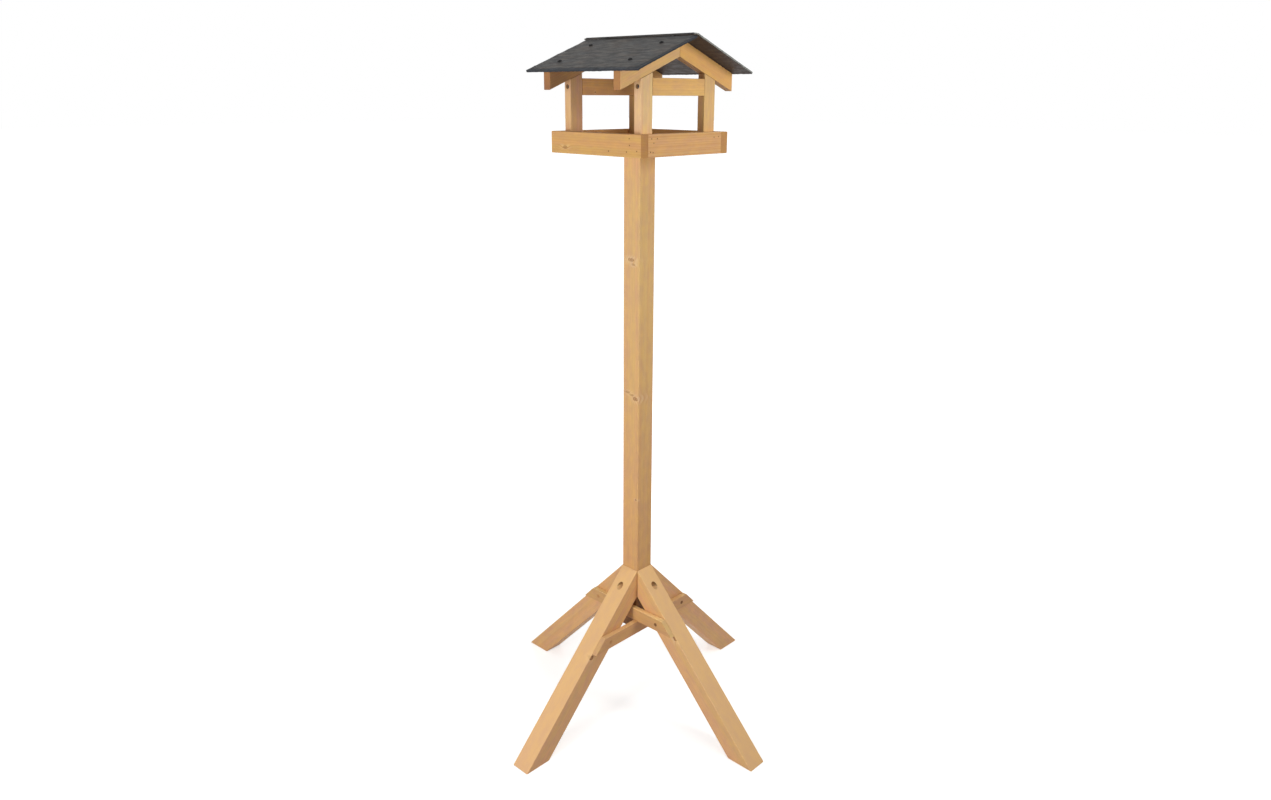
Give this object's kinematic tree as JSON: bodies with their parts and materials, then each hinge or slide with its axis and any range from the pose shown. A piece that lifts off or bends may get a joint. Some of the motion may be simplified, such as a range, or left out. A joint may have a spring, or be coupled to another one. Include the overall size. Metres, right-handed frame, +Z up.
{
  "type": "bird table",
  "caption": "Free-standing wooden bird table: square post on splayed legs with crossed ties, a shallow open feeding tray, and a gabled slate roof on a light timber frame.",
  "frame": {"origin": "on the ground below the middle of the post", "axes": "+Z up the post, Y along the ridge, -Y the gable end on the right of the picture, -X the slate on the left of it"},
  "size_m": [0.708, 0.708, 1.475],
  "materials": {
    "pine": "planed softwood with a honey-coloured outdoor stain, satin",
    "slate": "riven grey slate with hand-dressed edges, matt",
    "zinc_screw": "zinc plated, dulled",
    "dark_screw": "dark plated, satin"
  },
  "bodies": {
    "root": {"post": "pine", "leg_right": "pine", "leg_back": "pine", "leg_left": "pine", "leg_front": "pine", "leg_screw_right": "zinc_screw", "leg_screw_back": "zinc_screw", "leg_screw_left": "zinc_screw", "leg_screw_front": "zinc_screw", "tie_lower": "pine", "tie_lower_screw_left": "zinc_screw", "tie_lower_screw_right": "zinc_screw", "tie_upper": "pine", "tie_upper_screw_back": "zinc_screw", "tie_upper_screw_front": "zinc_screw", "tray_side_left": "pine", "tray_side_right": "pine", "tray_end_front": "pine", "tray_end_back": "pine", "tray_floor": "pine", "floor_screw_1": "zinc_screw", "floor_screw_2": "zinc_screw", "floor_screw_3": "zinc_screw", "floor_screw_4": "zinc_screw", "upright_left_front": "pine", "upright_left_back": "pine", "upright_right_front": "pine", "upright_right_back": "pine", "upright_screw_left_front": "zinc_screw", "upright_screw_left_back": "zinc_screw", "upright_screw_right_front": "zinc_screw", "upright_screw_right_back": "zinc_screw", "crossbar_front": "pine", "crossbar_back": "pine", "rafter_left_front": "pine", "rafter_left_back": "pine", "rafter_right_front": "pine", "rafter_right_back": "pine", "slate_left": "slate", "slate_right": "slate", "slate_screw_left_front_upper": "dark_screw", "slate_screw_left_front_lower": "dark_screw", "slate_screw_left_back_upper": "dark_screw", "slate_screw_left_back_lower": "dark_screw", "slate_screw_right_front_upper": "dark_screw", "slate_screw_right_front_lower": "dark_screw", "slate_screw_right_back_upper": "dark_screw", "slate_screw_right_back_lower": "dark_screw"}
  },
  "joints": []
}
